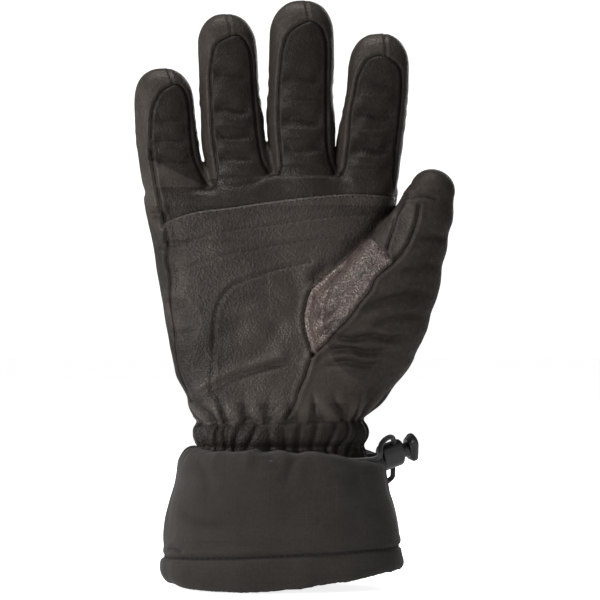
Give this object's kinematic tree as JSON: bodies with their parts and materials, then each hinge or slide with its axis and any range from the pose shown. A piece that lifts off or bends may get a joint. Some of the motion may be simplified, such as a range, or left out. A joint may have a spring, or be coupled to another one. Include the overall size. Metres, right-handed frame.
{
  "type": "ski glove",
  "caption": "Padded ski glove for the right hand, with leather palm, boxed fingers, gathered wrist and a flared gauntlet cuff with drawcord and cord lock.",
  "frame": {"origin": "centre of the cuff opening, on the hem's lower face", "axes": "+Z towards the fingertips, -Y out of the palm, +X towards the thumb; the glove stands on its cuff"},
  "size_m": [0.1529, 0.0764, 0.2836],
  "materials": {
    "padding": "matte",
    "fleece": "matte",
    "membrane": "satin",
    "elastic": "matte",
    "cuff_fabric": "matte",
    "hem_fabric": "matte",
    "wrist_fabric": "matte",
    "grain_leather": "satin",
    "palm_leather": "matte",
    "outer_fabric": "matte",
    "strip_leather": "matte",
    "cord": "matte",
    "black_plastic": "satin",
    "spring_steel": "satin"
  },
  "bodies": {
    "gauntlet": {"cuff_shell": "cuff_fabric", "cuff_insulation": "padding", "cuff_lining": "fleece", "hem_band": "hem_fabric", "drawcord": "cord", "cord_end": "black_plastic"},
    "hand": {"palm_panel": "palm_leather", "palm_patch": "palm_leather", "back_panel": "outer_fabric", "side_gusset": "strip_leather", "hand_insulation": "padding", "hand_membrane": "membrane", "hand_lining": "fleece", "wrist_casing": "wrist_fabric", "wrist_elastics": "elastic"},
    "little_base": {"little_base_palm": "palm_leather", "little_base_gusset": "strip_leather", "little_base_back": "outer_fabric", "little_base_liner": "padding"},
    "little_tip": {"little_tip_palm": "palm_leather", "little_tip_gusset": "strip_leather", "little_tip_back": "outer_fabric", "little_tip_liner": "padding"},
    "ring_base": {"ring_base_palm": "palm_leather", "ring_base_gusset": "strip_leather", "ring_base_back": "outer_fabric", "ring_base_liner": "padding"},
    "ring_tip": {"ring_tip_palm": "palm_leather", "ring_tip_gusset": "strip_leather", "ring_tip_back": "outer_fabric", "ring_tip_liner": "padding"},
    "middle_base": {"middle_base_palm": "palm_leather", "middle_base_gusset": "strip_leather", "middle_base_back": "outer_fabric", "middle_base_liner": "padding"},
    "middle_tip": {"middle_tip_palm": "palm_leather", "middle_tip_gusset": "strip_leather", "middle_tip_back": "outer_fabric", "middle_tip_liner": "padding"},
    "index_base": {"index_base_palm": "palm_leather", "index_base_gusset": "strip_leather", "index_base_back": "outer_fabric", "index_base_liner": "padding"},
    "index_tip": {"index_tip_palm": "palm_leather", "index_tip_gusset": "strip_leather", "index_tip_back": "outer_fabric", "index_tip_liner": "padding"},
    "thumb_base": {"thumb_leather_gusset": "grain_leather", "thumb_base_outer": "outer_fabric", "thumb_base_liner": "padding"},
    "thumb_tip": {"thumb_tip_palm": "palm_leather", "thumb_tip_outer": "outer_fabric", "thumb_tip_liner": "padding"},
    "cord_lock": {"lock_barrel": "black_plastic", "lock_spring": "spring_steel"},
    "push_button": {"lock_plunger": "black_plastic"}
  },
  "joints": [
    {"name": "wrist_flex", "type": "hinge", "parent": "gauntlet", "child": "hand", "pos_m": [0, 0, 0.077], "axis": [1, 0, 0], "range_deg": [-35, 40], "stiffness_Nm_per_rad": 1.5},
    {"name": "little_knuckle", "type": "hinge", "parent": "hand", "child": "little_base", "pos_m": [-0.0523, 0, 0.1955], "axis": [0.9977, 0, 0.068], "range_deg": [-8, 80], "stiffness_Nm_per_rad": 0.15},
    {"name": "little_middle_joint", "type": "hinge", "parent": "little_base", "child": "little_tip", "pos_m": [-0.05403, -0.00059, 0.22094], "axis": [0.9977, 0, 0.068], "range_deg": [0, 85], "stiffness_Nm_per_rad": 0.06},
    {"name": "ring_knuckle", "type": "hinge", "parent": "hand", "child": "ring_base", "pos_m": [-0.0216, 0, 0.1995], "axis": [0.9984, 0, 0.0558], "range_deg": [-8, 80], "stiffness_Nm_per_rad": 0.15},
    {"name": "ring_middle_joint", "type": "hinge", "parent": "ring_base", "child": "ring_tip", "pos_m": [-0.02358, -0.00113, 0.23494], "axis": [0.9984, 0, 0.0558], "range_deg": [0, 85], "stiffness_Nm_per_rad": 0.06},
    {"name": "middle_knuckle", "type": "hinge", "parent": "hand", "child": "middle_base", "pos_m": [0.0109, 0, 0.1995], "axis": [0.9998, 0, 0.0209], "range_deg": [-8, 80], "stiffness_Nm_per_rad": 0.15},
    {"name": "middle_middle_joint", "type": "hinge", "parent": "middle_base", "child": "middle_tip", "pos_m": [0.01009, -0.00133, 0.23799], "axis": [0.9998, 0, 0.0209], "range_deg": [0, 85], "stiffness_Nm_per_rad": 0.06},
    {"name": "index_knuckle", "type": "hinge", "parent": "hand", "child": "index_base", "pos_m": [0.0419, 0, 0.1985], "axis": [0.9968, 0, -0.0802], "range_deg": [-8, 80], "stiffness_Nm_per_rad": 0.15},
    {"name": "index_middle_joint", "type": "hinge", "parent": "index_base", "child": "index_tip", "pos_m": [0.04447, -0.00092, 0.2304], "axis": [0.9968, 0, -0.0802], "range_deg": [0, 85], "stiffness_Nm_per_rad": 0.06},
    {"name": "thumb_swing", "type": "hinge", "parent": "hand", "child": "thumb_base", "pos_m": [0.05, -0.01, 0.128], "axis": [-0.7724, 0.5361, 0.3404], "range_deg": [-32, 12], "stiffness_Nm_per_rad": 0.2},
    {"name": "thumb_middle_joint", "type": "hinge", "parent": "thumb_base", "child": "thumb_tip", "pos_m": [0.0618, -0.01503, 0.1627], "axis": [-0.7724, 0.5361, 0.3404], "range_deg": [-45, 0], "stiffness_Nm_per_rad": 0.08},
    {"name": "cord_lock_slide", "type": "slide", "parent": "gauntlet", "child": "cord_lock", "axis": [0.0037, 0.6348, -0.7727], "range_m": [0, 0.005], "stiffness_N_per_m": 40},
    {"name": "button_press", "type": "slide", "parent": "cord_lock", "child": "push_button", "axis": [-0.8827, -0.3611, -0.3009], "range_m": [0, 0.0025], "stiffness_N_per_m": 400, "deforming": ["lock_spring"]}
  ]
}
